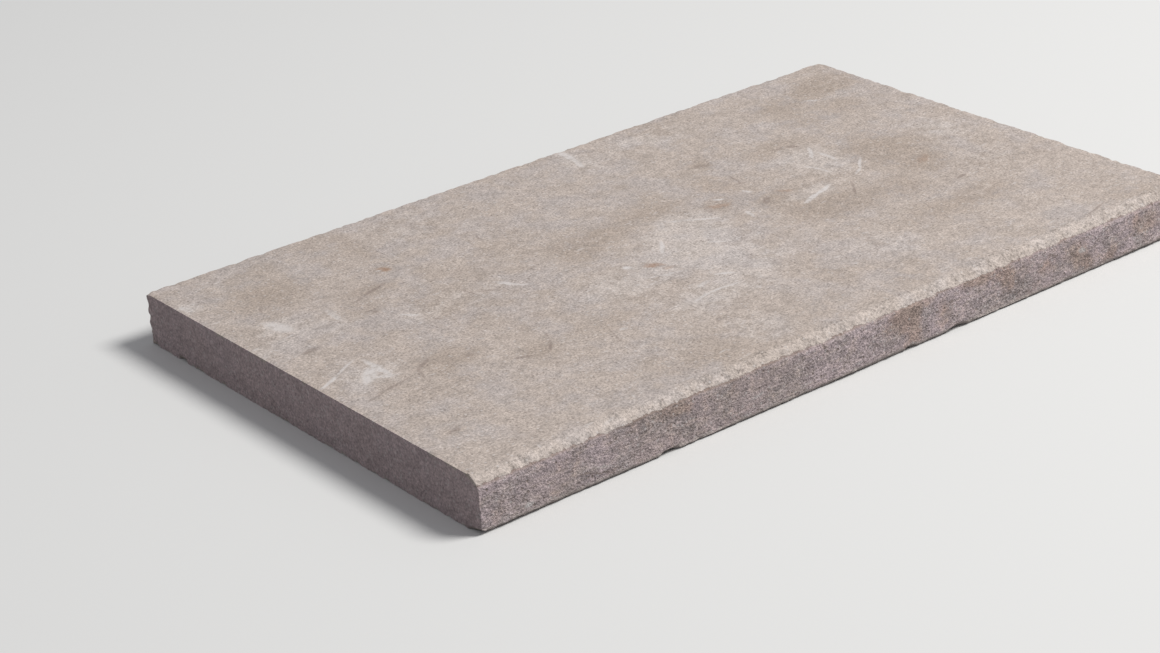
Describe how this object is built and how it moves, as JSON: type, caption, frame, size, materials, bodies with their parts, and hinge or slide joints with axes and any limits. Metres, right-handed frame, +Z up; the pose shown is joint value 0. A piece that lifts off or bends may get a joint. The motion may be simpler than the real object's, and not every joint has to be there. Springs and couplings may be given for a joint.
{
  "type": "pencil edge coping",
  "caption": "Sawn natural stone coping slab with a pencil round along its hand-dressed front edge, square butt ends, a plain sawn back and a flat bedding face.",
  "frame": {"origin": "middle of the bedding face, half way between the two butt ends and half way between the proudest point of the dressed front and the sawn back", "axes": "+X along the row of copings, +Y from the pencil edge towards the back, +Z up from the bedding face to the top"},
  "size_m": [0.5, 0.3, 0.03],
  "materials": {
    "limestone": "honed top with shell marks, dressed front face, sawn ends, back and bed"
  },
  "bodies": {
    "root": {"coping_stone": "limestone"}
  },
  "joints": []
}
